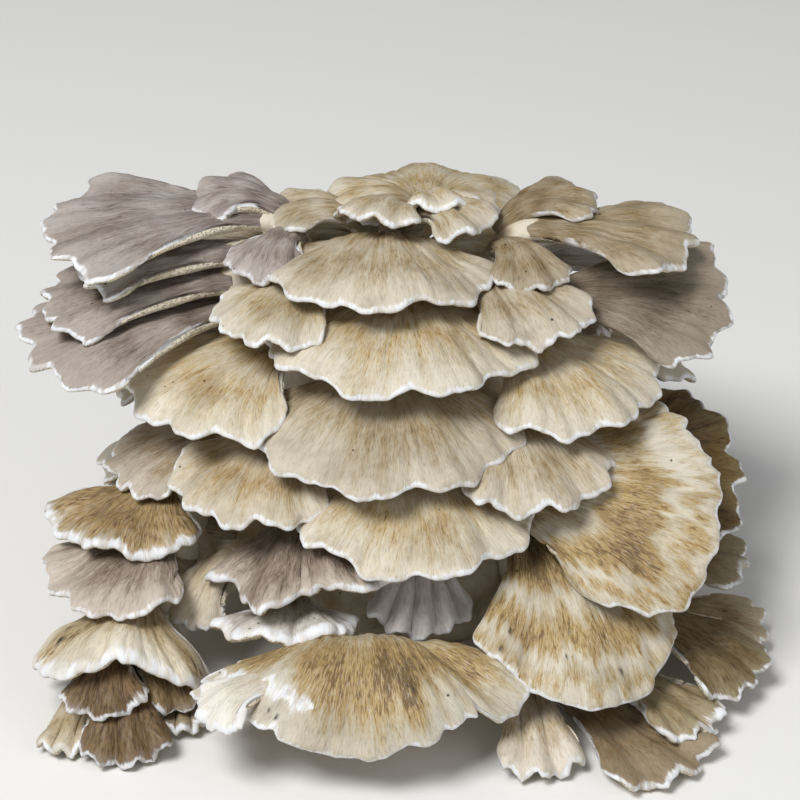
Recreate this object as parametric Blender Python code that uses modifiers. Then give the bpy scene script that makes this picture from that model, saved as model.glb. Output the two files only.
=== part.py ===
"""A maitake mushroom cluster: overlapping fan-shaped fronds on forked limbs over one base stem.

Metres, +Z up. The origin is the centre of the flat cut under the base stem, -Y is the
cluster's front and +X its right side as seen from the front.
"""

import math

import bmesh
import bpy
import numpy as np
from mathutils import Vector

# Driving sizes
MM = 0.001
JOINT_GAP = 0.3 * MM        # clear space between the base stem and a limb
BUTT_GAP = 0.6 * MM         # the same between a limb and a frond, whose end isn't quite square
STEM_RADIUS = 50 * MM       # base stem just above its cut
STEM_HEIGHT = 76 * MM
TWIG_RADIUS = 4.6 * MM      # last few millimetres of a limb before its frond
BUTT_WIDTH = 15 * MM        # width of an ordinary frond where it leaves the limb
BUTT_LENGTH = 14 * MM       # narrow neck of a frond before it fans out
BUTT_THICK = 8.5 * MM
MARGIN_THICK = 3.4 * MM

# Flesh colours of the solids
OCHRE = (0.42, 0.27, 0.13)
TAN = (0.50, 0.37, 0.22)
GREY_TAN = (0.40, 0.33, 0.27)
CREAM = (0.72, 0.65, 0.52)
PALE = (0.78, 0.74, 0.66)

# What every frond has unless its own row says otherwise. Angles are in degrees:
#   heading  where it points, 0 to the front and 90 to the right
#   rise     its slope at the start of the fan, droop how much it bends down to the margin
#   spread   the angle of the fan, arch how much it bends down from side to side
#   roll     leans the whole fan, positive with its left-hand edge up as it points away
# and reach is the fan's length in millimetres, side the length of its edges as a share of reach.
USUAL = dict(
    heading=0, rise=0, droop=30, reach=60, spread=120, side=0.74, arch=25, roll=0,
    ruffle=(2.0, 3, 0.0),      # height in millimetres, half waves across, phase
    lobes=(0.035, 5, 0.0),     # depth as a share of reach, half waves across, phase
    fold=(0.0, 0.0, 0.1),      # place across, depth in millimetres, width of a crease
    butt=BUTT_WIDTH / MM, cells=(8, 3), flesh=TAN,
)

# Each frond's start on its limb in millimetres from the cut's centre, and how it differs
FRONDS = {
    # front and right, the largest fans
    "frond_front_arch": dict(
        root=(-13.4, -84.6, 18), heading=1, rise=58, droop=134, reach=74, spread=164, side=0.88,
        arch=26, ruffle=(2.0, 3, 0.5), lobes=(0.03, 5, 0.0), fold=(0.6, 7.0, 0.10), butt=30,
        cells=(12, 7), flesh=OCHRE),
    "frond_front_small": dict(
        root=(48, -79, 12.5), heading=8, droop=20, reach=44, spread=56, arch=20, cells=(6, 3)),
    "frond_right_fan_lower": dict(
        root=(52, -38, 54.8), heading=24.6, rise=0, droop=40, reach=73, spread=106, side=0.86,
        arch=38, roll=6, lobes=(0.1, 0.5, -0.6), butt=24, cells=(12, 6), flesh=OCHRE),
    "frond_right_fan_upper": dict(
        root=(38, -33, 75.5), heading=70, rise=12, droop=26, reach=80, spread=104, side=0.76,
        arch=14, roll=-30, lobes=(0.025, 5, 0.0), butt=22, cells=(12, 6), flesh=TAN),
    "frond_right_fan_behind": dict(
        root=(62.4, -9, 62.6), heading=92, rise=6, droop=10, reach=66, spread=105, arch=5, roll=-26,
        lobes=(0.04, 5, 0.0), cells=(10, 4), flesh=OCHRE),
    # left side, low to high
    "frond_left_arch": dict(
        root=(-106, -64, 31), heading=-12, rise=20, droop=38, reach=37, spread=196, side=1.3,
        arch=56, lobes=(0.03, 5, 0.0), butt=20, cells=(12, 5), flesh=CREAM),
    "frond_left_foot": dict(
        root=(-112, -83, 13), heading=8, rise=6, droop=56, reach=36, spread=80, arch=44,
        cells=(6, 3), flesh=OCHRE),
    "frond_left_foot_outer": dict(
        root=(-124, -80, 6.5), heading=-14, droop=4, reach=28, spread=50, arch=6,
        cells=(5, 3), flesh=CREAM),
    "frond_left_foot_inner": dict(
        root=(-90, -71, 7.5), heading=8, droop=8, reach=24, spread=50, arch=10,
        cells=(5, 3), flesh=OCHRE),
    "frond_left_lower": dict(
        root=(-92, -41, 53), heading=-40, rise=4, droop=28, reach=44, spread=150, side=0.8,
        arch=30, cells=(10, 4), flesh=GREY_TAN),
    "frond_left_middle": dict(
        root=(-96, -21, 67), heading=-28, droop=14, reach=42, spread=176, side=0.84, arch=22,
        ruffle=(2.4, 3, 0.0), cells=(10, 5), flesh=OCHRE),
    "frond_left_small": dict(
        root=(-63, -8, 84), heading=-70, droop=30, reach=46, spread=84, arch=20, cells=(6, 3)),
    # middle, between the front arch and the crown
    "frond_centre_wavy": dict(
        root=(-34, -35, 65), heading=-8, rise=-2, droop=14, reach=48, spread=150, side=0.8,
        arch=14, roll=-14, ruffle=(3.0, 4, 0.0), cells=(12, 4), flesh=OCHRE),
    "frond_centre_shelf": dict(
        root=(-44, -48, 25), heading=2, rise=24, droop=6, reach=38, spread=120, side=0.8,
        arch=8, cells=(8, 3), flesh=GREY_TAN),
    "frond_centre_left": dict(
        root=(-67, -43, 43.2), heading=-34, rise=-5, droop=50, reach=28, spread=84, arch=40,
        cells=(6, 3), flesh=CREAM),
    "frond_centre_folded": dict(
        root=(8, -49, 64), rise=-38, droop=18, reach=33, spread=100, side=0.8, arch=10,
        ruffle=(3.0, 5, 0.0), cells=(10, 3), flesh=PALE),
    # upper left
    "frond_upper_left_1": dict(
        root=(-58, 35, 160), heading=-84, rise=6, droop=15, reach=74, spread=96, arch=10),
    "frond_upper_left_2": dict(
        root=(-68, 23, 150), heading=-78, rise=2, droop=8, reach=50, spread=64, arch=6,
        cells=(6, 3), flesh=PALE),
    "frond_upper_left_3": dict(
        root=(-72, 17, 140), heading=-82, droop=12, reach=60, spread=74, arch=10, roll=4,
        cells=(6, 3), flesh=GREY_TAN),
    "frond_upper_left_4": dict(
        root=(-66, 17, 127), heading=-76, rise=4, droop=16, reach=76, spread=96, arch=14,
        flesh=GREY_TAN),
    # upper right
    "frond_upper_right_1": dict(
        root=(54, 31, 156.8), heading=82, rise=5, droop=15, reach=54, spread=100, arch=10),
    "frond_upper_right_2": dict(
        root=(62, 19, 132), heading=84, rise=12, droop=25, reach=60, spread=92, arch=10, roll=-26,
        flesh=GREY_TAN),
    # lower right
    "frond_lower_right_1": dict(
        root=(93, -51, 22.4), heading=58, droop=24, reach=48, spread=74, arch=30, cells=(6, 4)),
    "frond_lower_right_2": dict(
        root=(95.4, -34, 10.4), heading=76, rise=4, droop=12, reach=44, spread=80, arch=14,
        cells=(6, 3)),
    "frond_lower_right_3": dict(
        root=(88, -17, 25), heading=86, rise=10, droop=16, reach=44, spread=76, arch=20,
        cells=(6, 3)),
    "frond_lower_right_4": dict(
        root=(79, -71, 12.2), heading=46, droop=4, reach=45, spread=58, arch=14, cells=(6, 3),
        flesh=CREAM),
    "frond_lower_right_5": dict(
        root=(67, -82, 5.6), heading=42, droop=1, reach=54, spread=78, arch=2, cells=(6, 3),
        flesh=CREAM),
    # crown
    "frond_crown_1": dict(
        root=(4, -27, 89.9), heading=4, droop=38, reach=62, spread=150, cells=(10, 4), flesh=OCHRE),
    "frond_crown_2": dict(root=(-41, -19, 93), heading=-30, reach=50, flesh=OCHRE),
    "frond_crown_3": dict(root=(38, -19, 101), heading=24, droop=32, reach=50, spread=110),
    "frond_crown_4": dict(
        root=(-4, -4, 112.5), heading=-4, rise=6, droop=40, reach=68, spread=160, cells=(10, 4)),
    "frond_crown_5": dict(
        root=(-44, 7, 116), heading=-52, rise=6, droop=34, spread=130, flesh=OCHRE),
    "frond_crown_6": dict(
        root=(42, 7, 118), heading=46, rise=6, droop=34, reach=58, spread=130, flesh=OCHRE),
    "frond_crown_7": dict(
        root=(0, 17, 132), heading=2, rise=16, droop=44, reach=66, spread=170, cells=(10, 4),
        flesh=OCHRE),
    "frond_crown_8": dict(
        root=(-6, 34, 149), heading=-6, rise=22, droop=46, reach=58, spread=176),
    "frond_crown_left": dict(
        root=(-28, 16, 141.5), heading=-36, rise=10, droop=34, reach=46, spread=92, flesh=OCHRE),
    "frond_crown_right": dict(
        root=(28, 18, 142), heading=38, rise=10, droop=34, reach=48, spread=92),
    "frond_crown_9": dict(
        root=(10, 50, 154), heading=170, rise=8, droop=50, reach=50, spread=170, arch=30,
        flesh=OCHRE),
    # sides
    "frond_side_left": dict(root=(-68, 14, 68), heading=-98, droop=36, reach=44, spread=110),
    "frond_side_right": dict(root=(74, 12, 60), heading=98, droop=36, reach=48, spread=84),
    # back, high to low
    "frond_back_top_1": dict(
        root=(0, 55, 140.8), heading=178, rise=8, droop=60, reach=66, spread=150, flesh=OCHRE),
    "frond_back_top_2": dict(
        root=(-46, 53, 127), heading=-136, rise=8, droop=55, reach=64, spread=130),
    "frond_back_top_3": dict(
        root=(46, 53, 125.5), heading=136, rise=8, droop=55, reach=64, spread=130, flesh=GREY_TAN),
    "frond_back_middle_1": dict(
        root=(2, 59, 98), heading=176, droop=56, reach=74, spread=150),
    "frond_back_middle_2": dict(
        root=(-58, 41, 94), heading=-124, droop=50, reach=64, spread=130, flesh=OCHRE),
    "frond_back_middle_3": dict(
        root=(58, 41, 97), heading=128, droop=50, reach=64, spread=130),
    "frond_back_low_1": dict(
        root=(0, 62, 61), heading=182, droop=55, reach=76, spread=150, flesh=OCHRE),
    "frond_back_low_2": dict(
        root=(-60, 41, 53), heading=-130, droop=50, reach=70, spread=130, flesh=GREY_TAN),
    "frond_back_low_3": dict(
        root=(60, 41, 53), heading=135, droop=50, reach=70, spread=130),
    "frond_back_low_4": dict(
        root=(-76, 9, 40), heading=-92, reach=54, spread=110, flesh=OCHRE),
    "frond_back_foot_1": dict(
        root=(-35, 58, 22), heading=-162, droop=20, reach=66, arch=20, cells=(7, 3), flesh=CREAM),
    "frond_back_foot_2": dict(
        root=(37, 58, 20), heading=158, droop=20, reach=66, arch=20, cells=(7, 3), flesh=CREAM),
}

# Each limb's flat start on the base stem, its direction there, its radius in millimetres,
# the frond that it runs on to, and the fronds on its side branches
LIMBS = {
    "limb_front": dict(
        fork=(-8, -51, 12.5), way=(0, -1, 0.05), radius=9, leader="frond_front_arch",
        branches=[]),
    "limb_left": dict(
        fork=(-53, -8, 26), way=(-1, -0.2, 0.1), radius=17, leader="frond_left_arch",
        branches=["frond_left_foot", "frond_left_foot_outer", "frond_left_foot_inner",
                  "frond_left_lower", "frond_left_middle", "frond_left_small",
                  "frond_centre_shelf", "frond_centre_left", "frond_side_left",
                  "frond_back_low_4"]),
    "limb_right": dict(
        fork=(53, -8.6, 26.5), way=(1, -0.2, 0.1), radius=17, leader="frond_lower_right_1",
        branches=["frond_front_small", "frond_right_fan_lower", "frond_right_fan_upper",
                  "frond_right_fan_behind",
                  "frond_lower_right_2", "frond_lower_right_3", "frond_lower_right_4",
                  "frond_lower_right_5", "frond_side_right"]),
    "limb_upper_left": dict(
        fork=(-30, 16, 70), way=(-0.45, 0.25, 0.86), radius=15, leader="frond_upper_left_1",
        branches=["frond_upper_left_2", "frond_upper_left_3", "frond_upper_left_4",
                  "frond_crown_5", "frond_crown_left", "frond_back_top_2", "frond_back_middle_2"]),
    "limb_upper_right": dict(
        fork=(30, 16, 70), way=(0.45, 0.25, 0.86), radius=15, leader="frond_upper_right_1",
        branches=["frond_upper_right_2", "frond_crown_6", "frond_crown_right",
                  "frond_back_top_3", "frond_back_middle_3"]),
    "limb_crown": dict(
        fork=(0, 4.6, 81), way=(0, 0.1, 1), radius=14, leader="frond_crown_8",
        branches=["frond_centre_wavy", "frond_centre_folded", "frond_crown_1", "frond_crown_2",
                  "frond_crown_3", "frond_crown_4", "frond_crown_7", "frond_crown_9",
                  "frond_back_top_1"]),
    "limb_back": dict(
        fork=(1, 49, 42.5), way=(0, 0.8, 0.6), radius=11, leader="frond_back_low_1",
        branches=["frond_back_middle_1", "frond_back_low_2", "frond_back_low_3",
                  "frond_back_foot_1", "frond_back_foot_2"]),
}


def clear_scene():
    for obj in list(bpy.data.objects):
        bpy.data.objects.remove(obj, do_unlink=True)


def new_collection(name):
    collection = bpy.data.collections.new(name)
    bpy.context.scene.collection.children.link(collection)
    return collection


def flesh_material(name, colour, roughness=0.75):
    material = bpy.data.materials.new(name)
    material.use_nodes = True
    shader = material.node_tree.nodes["Principled BSDF"]
    shader.inputs["Base Color"].default_value = (*colour, 1.0)
    shader.inputs["Roughness"].default_value = roughness
    shader.inputs["Metallic"].default_value = 0.0
    return material


def fan_plan(f, s, t):
    """Flat fan: s runs from -1 to 1 across it, t from 0 at the butt to 1 at the margin.

    Each line of constant s is a cubic Bezier curve that leaves the narrow butt straight
    ahead and meets the margin at its own angle. Returns forward and sideways distances.
    """
    angle = s * math.radians(f["spread"]) / 2
    depth, waves, phase = f["lobes"]
    phase = phase + 0.13 * f["root"][2]         # so that no two fans have the same outline
    reach = f["reach"] * (f["side"] + (1 - f["side"]) * np.sqrt(1 - np.abs(s) ** 3))
    reach = reach * (1 + depth * np.sin(waves * math.pi * s + phase)
                     + 0.4 * depth * np.sin(2.3 * waves * math.pi * s + 2 * phase + 1))
    margin = (reach * np.cos(angle), reach * np.sin(angle))
    neck = BUTT_LENGTH / MM
    start = (-neck + 0 * s, s * f["butt"] / 2)
    straight = (-0.2 * neck + 0 * s, s * f["butt"] * 0.62)
    return [
        p0 * (1 - t) ** 3 + 3 * p1 * (1 - t) ** 2 * t + 3 * 0.42 * p3 * (1 - t) * t ** 2 + p3 * t ** 3
        for p0, p1, p3 in zip(start, straight, margin)
    ]


def fan_shape(f, s, t):
    """The fan bent along its length and from side to side, with ruffles and a crease.

    Returns x, y, z in metres with the butt's middle at the origin, pointing along -Y.
    """
    forward, sideways = fan_plan(f, s, t)
    across = math.radians(f["arch"]) / f["reach"] + 1e-6
    along = math.radians(f["droop"]) / f["reach"] + 1e-6
    rise = math.radians(f["rise"])
    slope = rise - along * forward
    first = rise + along * BUTT_LENGTH / MM
    ahead = (math.sin(first) - np.sin(slope)) / along
    height = (np.cos(slope) - math.cos(first)) / along
    size, waves, phase = f["ruffle"]
    phase = phase + 0.05 * f["root"][0]
    place, deep, wide = f["fold"]
    lift = (np.cos(across * sideways) - 1) / across
    lift = lift + size * t ** 2.2 * np.sin(waves * math.pi * s + phase)
    lift = lift - deep * t ** 1.5 * np.exp(-((s - place) / wide) ** 2)
    x = np.sin(across * sideways) / across
    y = -(ahead - np.sin(slope) * lift)
    z = height + np.cos(slope) * lift
    return x * MM, y * MM, z * MM


def make_frond(name, collection):
    f = {**USUAL, **FRONDS[name]}
    across, along = f["cells"]
    sheet = bmesh.new()
    bmesh.ops.create_grid(sheet, x_segments=across, y_segments=along, size=1.0)
    s = np.array([v.co.x for v in sheet.verts])
    t = np.array([(v.co.y + 1) / 2 for v in sheet.verts])
    for vertex, x, y, z in zip(sheet.verts, *fan_shape(f, s, t)):
        vertex.co = (x, y, z)
    mesh = bpy.data.meshes.new(name)
    sheet.to_mesh(mesh)
    sheet.free()

    obj = bpy.data.objects.new(name, mesh)
    obj.location = Vector(f["root"]) * MM
    obj.rotation_euler = (0, math.radians(f["roll"]), math.radians(f["heading"]))
    collection.objects.link(obj)
    mesh.materials.append(flesh_material(name + "_flesh", f["flesh"]))

    # thick at the butt, thin at the margin and thinnest at the margin's two corners
    ease = t * t * (3 - 2 * t)
    thick = (BUTT_THICK * (1 - ease) + MARGIN_THICK * ease) * (1 - 0.4 * np.abs(s) ** 4)
    group = obj.vertex_groups.new(name="thickness")
    for index, share in enumerate(thick / BUTT_THICK):
        group.add([index], float(share), "REPLACE")
    shell = obj.modifiers.new("thickness", "SOLIDIFY")
    shell.thickness = BUTT_THICK
    shell.offset = 0.0
    shell.vertex_group = group.name
    return obj


def butt_of(name):
    """World point of a frond's butt and the direction of its first row of cells."""
    f = {**USUAL, **FRONDS[name]}
    s = np.zeros(2)
    x, y, z = fan_shape(f, s, np.array([0.0, 1 / f["cells"][1]]))
    roll, heading = math.radians(f["roll"]), math.radians(f["heading"])
    local = Vector((x[1] - x[0], y[1] - y[0], z[1] - z[0]))
    tilted = Vector((local.x * math.cos(roll) + local.z * math.sin(roll), local.y,
                     local.z * math.cos(roll) - local.x * math.sin(roll)))
    way = Vector((tilted.x * math.cos(heading) - tilted.y * math.sin(heading),
                  tilted.x * math.sin(heading) + tilted.y * math.cos(heading), tilted.z))
    return Vector(f["root"]) * MM, way.normalized()


def bezier_point(p0, p1, p2, p3, t):
    a = 1 - t
    return p0 * a ** 3 + p1 * 3 * a * a * t + p2 * 3 * a * t * t + p3 * t ** 3


def make_tube(name, points, radii, sides_level, steps, collection):
    """A tapered tube with flat ends along one Bezier curve, given as its four points."""
    start, start_handle, end_handle, end = points
    curve = bpy.data.curves.new(name, "CURVE")
    curve.dimensions = "3D"
    curve.bevel_depth = 1.0
    curve.bevel_resolution = sides_level
    curve.use_fill_caps = True
    curve.resolution_u = steps
    spline = curve.splines.new("BEZIER")
    spline.bezier_points.add(1)
    first, last = spline.bezier_points
    for point, place, inward, outward, radius in (
        (first, start, 2 * start - start_handle, start_handle, radii[0]),
        (last, end, end_handle, 2 * end - end_handle, radii[1]),
    ):
        point.handle_left_type = point.handle_right_type = "FREE"
        point.co, point.handle_left, point.handle_right = place, inward, outward
        point.radius = radius
    guide = bpy.data.objects.new(name + "_curve", curve)
    collection.objects.link(guide)
    bpy.context.view_layer.update()

    mesh = bpy.data.meshes.new_from_object(
        guide.evaluated_get(bpy.context.evaluated_depsgraph_get()))
    mesh.name = name
    solid = bmesh.new()
    solid.from_mesh(mesh)
    bmesh.ops.remove_doubles(solid, verts=solid.verts, dist=0.01 * MM)
    bmesh.ops.recalc_face_normals(solid, faces=solid.faces)
    solid.to_mesh(mesh)
    solid.free()
    obj = bpy.data.objects.new(name, mesh)
    obj.matrix_world = guide.matrix_world
    collection.objects.link(obj)
    bpy.data.objects.remove(guide, do_unlink=True)
    return obj


def as_cutter(obj):
    obj.hide_render = True
    obj.display_type = "WIRE"


def join(obj, other):
    union = obj.modifiers.new("join " + other.name, "BOOLEAN")
    union.operation = "UNION"
    union.solver = "EXACT"
    union.object = other
    as_cutter(other)


def make_limb(name, parts, cutters):
    row = LIMBS[name]
    fork = Vector(row["fork"]) * MM
    way = Vector(row["way"]).normalized()
    radius = row["radius"] * MM

    butt, out = butt_of(row["leader"])
    end = butt - out * BUTT_GAP
    length = (end - fork).length
    spine = (fork, fork + way * max(length * 0.35, 12 * MM), end - out * length * 0.3, end)
    limb = make_tube(name, spine, (radius, TWIG_RADIUS), 2, 5, parts)
    limb.data.materials.append(flesh_material(name + "_flesh", PALE))

    for frond in row["branches"]:
        butt, out = butt_of(frond)
        end = butt - out * BUTT_GAP
        # leave the spine a little below the place nearest to the frond
        places = [i / 40 for i in range(2, 34)]
        near = min(places, key=lambda p: (bezier_point(*spine, p) - end).length)
        leave = max(near - 0.12, min(15 * MM / length, 0.42))
        start = bezier_point(*spine, leave)
        onward = (bezier_point(*spine, leave + 0.02) - start).normalized()
        run = (end - start).length
        aim = (0.6 * onward + 1.4 * (end - start).normalized()).normalized()
        thick = min(radius * (1 - leave) * 0.62 + TWIG_RADIUS * 0.3, 8 * MM)
        twig = make_tube(frond.replace("frond", "twig"),
                         (start, start + aim * run * 0.35, end - out * run * 0.36, end),
                         (thick, TWIG_RADIUS), 1, 3, cutters)
        join(limb, twig)
    return limb


def make_base_stem(parts, cutters):
    """Stout turned stem with a flat cut underneath and a short stub towards each limb."""
    outline = [(0.0, 1.0), (0.34, 0.96), (0.56, 0.82), (0.74, 0.60), (0.93, 0.36), (1.0, 0.16),
               (0.96, 0.0), (0.0, 0.0)]
    profile = bmesh.new()
    rim = [profile.verts.new((r * STEM_RADIUS, 0, h * STEM_HEIGHT)) for r, h in outline]
    for upper, lower in zip(rim, rim[1:]):
        profile.edges.new((upper, lower))
    mesh = bpy.data.meshes.new("base_stem")
    profile.to_mesh(mesh)
    profile.free()
    stem = bpy.data.objects.new("base_stem", mesh)
    parts.objects.link(stem)
    mesh.materials.append(flesh_material("base_stem_flesh", PALE, 0.8))
    turn = stem.modifiers.new("turn", "SCREW")
    turn.steps = turn.render_steps = 18
    turn.use_merge_vertices = True
    turn.merge_threshold = 0.0001

    for name, row in LIMBS.items():
        way = Vector(row["way"]).normalized()
        end = Vector(row["fork"]) * MM - way * JOINT_GAP
        start = Vector((end.x * 0.3, end.y * 0.3, min(end.z, 24 * MM)))
        start = end - way * (end - start).length
        low = row["radius"] * MM * 1.05
        if start.z < low:
            start = end - way * 0.55 * (end - start).length
        length = (end - start).length
        stub = make_tube(name.replace("limb", "stub"),
                         (start, start + way * length * 0.33, end - way * length * 0.33, end),
                         (row["radius"] * MM * 1.1, row["radius"] * MM), 2, 2, cutters)
        join(stem, stub)
    return stem


def main():
    clear_scene()
    parts = new_collection("maitake_mushroom")
    cutters = new_collection("cutters")
    make_base_stem(parts, cutters)
    for name in LIMBS:
        make_limb(name, parts, cutters)
    for name in FRONDS:
        make_frond(name, parts)


main()
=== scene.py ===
import math

import bpy
import numpy as np
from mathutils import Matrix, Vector


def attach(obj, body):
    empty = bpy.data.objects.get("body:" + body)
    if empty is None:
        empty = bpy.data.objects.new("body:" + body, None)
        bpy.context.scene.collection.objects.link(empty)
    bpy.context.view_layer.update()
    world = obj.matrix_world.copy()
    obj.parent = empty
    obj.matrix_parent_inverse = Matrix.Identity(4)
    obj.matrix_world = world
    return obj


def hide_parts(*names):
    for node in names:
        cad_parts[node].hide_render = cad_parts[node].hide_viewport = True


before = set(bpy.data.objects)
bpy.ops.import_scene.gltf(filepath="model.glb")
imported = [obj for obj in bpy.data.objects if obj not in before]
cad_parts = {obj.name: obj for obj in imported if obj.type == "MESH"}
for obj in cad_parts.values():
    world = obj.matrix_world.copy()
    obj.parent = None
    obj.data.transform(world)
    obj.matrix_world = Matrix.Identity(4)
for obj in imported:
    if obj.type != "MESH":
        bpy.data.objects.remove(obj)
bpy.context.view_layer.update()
print("frame loaded,", len(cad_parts), "solids")

mm = 0.001
neckLength = 14       # mm, narrow neck of a frond before it fans out
neckThick = 8.5       # mm
marginThick = 3.4     # mm
twigRadius = 4.6      # mm
skinStart = -0.14     # place along a frond where its skin starts, inside the limb


# numbers that wander smoothly

def eased(x):
    # 0 below 0, 1 above 1 and a smooth rise between
    x = np.clip(x, 0, 1)
    return x * x * (3 - 2 * x)


def lattice(i, j, seed):
    # one fixed number from 0 to 1 for each whole pair i, j
    h = np.sin(i * 127.1 + j * 311.7 + seed * 74.7) * 43758.5453
    return h - np.floor(h)


def wander(u, v, seed):
    # value noise from -1 to 1: lattice numbers blended between the four corners of each cell
    i, j = np.floor(u), np.floor(v)
    a, b = eased(u - i), eased(v - j)
    low = lattice(i, j, seed) * (1 - a) + lattice(i + 1, j, seed) * a
    high = lattice(i, j + 1, seed) * (1 - a) + lattice(i + 1, j + 1, seed) * a
    return 2 * (low * (1 - b) + high * b) - 1


# meshes from whole arrays

def newMesh(name, points, quads):
    mesh = bpy.data.meshes.new(name)
    mesh.vertices.add(len(points))
    mesh.vertices.foreach_set("co", np.asarray(points, dtype=np.float32).ravel())
    mesh.loops.add(quads.size)
    mesh.loops.foreach_set("vertex_index", quads.astype(np.int32).ravel())
    mesh.polygons.add(len(quads))
    mesh.polygons.foreach_set("loop_start", np.arange(0, quads.size, 4, dtype=np.int32))
    mesh.update(calc_edges=True)
    mesh.validate()
    mesh.shade_smooth()
    return mesh


def paint(mesh, name, values):
    attribute = mesh.attributes.new(name, "FLOAT", "POINT")
    attribute.data.foreach_set("value", np.asarray(values, dtype=np.float32).ravel())


def addObject(name, data):
    added = bpy.data.objects.new(name, data)
    bpy.context.scene.collection.objects.link(added)
    return added


def addPiece(name, mesh, material, node):
    piece = addObject(name, mesh)
    mesh.materials.append(material)
    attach(piece, "root")
    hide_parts(node)


# node building

def feed(tree, socket, value):
    if isinstance(value, bpy.types.NodeSocket):
        tree.links.new(value, socket)
    else:
        socket.default_value = value


def maths(tree, operation, a, b):
    node = tree.nodes.new("ShaderNodeMath")
    node.operation = operation
    feed(tree, node.inputs[0], a)
    feed(tree, node.inputs[1], b)
    return node.outputs[0]


def plus(tree, a, b):
    return maths(tree, "ADD", a, b)


def minus(tree, a, b):
    return maths(tree, "SUBTRACT", a, b)


def times(tree, a, b):
    return maths(tree, "MULTIPLY", a, b)


def ramp(tree, value, low, high, toLow=0.0, toHigh=1.0):
    node = tree.nodes.new("ShaderNodeMapRange")
    node.interpolation_type = "SMOOTHSTEP"
    for key, entry in (("Value", value), ("From Min", low), ("From Max", high),
                       ("To Min", toLow), ("To Max", toHigh)):
        feed(tree, node.inputs[key], entry)
    return node.outputs["Result"]


def blendColours(tree, share, a, b, how="MIX"):
    node = tree.nodes.new("ShaderNodeMix")
    node.data_type = "RGBA"
    node.blend_type = how
    feed(tree, node.inputs["Factor"], share)
    for key, colour in (("A", a), ("B", b)):
        feed(tree, node.inputs[key], (*colour, 1) if isinstance(colour, tuple) else colour)
    return node.outputs["Result"]


def stretch(tree, vector, scale):
    node = tree.nodes.new("ShaderNodeMapping")
    feed(tree, node.inputs["Vector"], vector)
    node.inputs["Scale"].default_value = scale
    return node.outputs["Vector"]


def cloud(tree, vector, scale, detail, rough=0.5, twist=0.0):
    node = tree.nodes.new("ShaderNodeTexNoise")
    feed(tree, node.inputs["Vector"], vector)
    feed(tree, node.inputs["Scale"], scale)
    node.inputs["Detail"].default_value = detail
    node.inputs["Roughness"].default_value = rough
    node.inputs["Distortion"].default_value = twist
    return node.outputs["Fac"]


def attribute(tree, name):
    node = tree.nodes.new("ShaderNodeAttribute")
    node.attribute_name = name
    return node.outputs["Fac"]


def newGroup(name, inputs, outputs):
    group = bpy.data.node_groups.new(name, "ShaderNodeTree")
    for way, sockets in (("INPUT", inputs), ("OUTPUT", outputs)):
        for label, kind in sockets.items():
            group.interface.new_socket(name=label, in_out=way, socket_type=kind)
    return group, group.nodes.new("NodeGroupInput"), group.nodes.new("NodeGroupOutput")


def useGroup(tree, group, **values):
    node = tree.nodes.new("ShaderNodeGroup")
    node.node_tree = group
    for label, value in values.items():
        feed(tree, node.inputs[label], value)
    return node


number, vector = "NodeSocketFloat", "NodeSocketVector"
# noise cells across and along each 100 mm of a frond, then detail, roughness and distortion
fibreNoise = dict(Broad=((24, 4.0, 1), 3.0, 0.6, 0.3), Fine=((72, 17, 1), 3.0, 0.65, 0.25),
                  Hair=((190, 28, 1), 2.0, 0.6, 0.1))


def makeRadialFibres():
    # fibrils that run from the neck to the margin: noise drawn out along the fan's length
    group, given, made = newGroup("radialFibres", dict(Grain=vector), dict(
        Broad=number, Fine=number, Hair=number, Height=number))
    noise = {}
    for label, (size, *rest) in fibreNoise.items():
        noise[label] = cloud(group, stretch(group, given.outputs["Grain"], size), 1.0, *rest)
        group.links.new(noise[label], made.inputs[label])
    height = plus(group, times(group, noise["Fine"], 0.6), times(group, noise["Hair"], 0.4))
    group.links.new(height, made.inputs["Height"])
    return group


def makePaleMargin():
    # white where Edge, the distance to the margin over the band's width, roughened by noise,
    # is less than 1
    group, given, made = newGroup(
        "paleMargin", dict(Edge=number, Rough=number), dict(Mask=number))
    jag = times(group, minus(group, given.outputs["Rough"], 0.5), 2.4)
    distance = plus(group, given.outputs["Edge"], jag)
    group.links.new(ramp(group, distance, 1.5, 0.5), made.inputs["Mask"])
    return group


def cellDistance(group, given):
    # how far it is to the centre of the nearest of random cells
    cells = group.nodes.new("ShaderNodeTexVoronoi")
    for label in ("Vector", "Scale"):
        feed(group, cells.inputs[label], given.outputs[label])
    return cells.outputs["Distance"]


def makePores():
    # round pores under a frond, one at each cell centre, each pit darkened as painted shade
    group, given, made = newGroup(
        "pores", dict(Vector=vector, Scale=number), dict(PaintedShade=number, Height=number))
    height = ramp(group, cellDistance(group, given), 0.12, 0.5)
    group.links.new(height, made.inputs["Height"])
    group.links.new(minus(group, 1.0, height), made.inputs["PaintedShade"])
    return group


def makeFlecks():
    # specks of soil at the cell centres, in patches
    group, given, made = newGroup(
        "flecks", dict(Vector=vector, Scale=number, Size=number), dict(Mask=number))
    far = cellDistance(group, given)
    patches = cloud(group, given.outputs["Vector"], 55.0, 2.0)
    size = times(group, given.outputs["Size"], ramp(group, patches, 0.5, 0.7))
    group.links.new(maths(group, "LESS_THAN", far, size), made.inputs["Mask"])
    return group


radialFibres = makeRadialFibres()
paleMargin = makePaleMargin()
pores = makePores()
flecks = makeFlecks()


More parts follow.
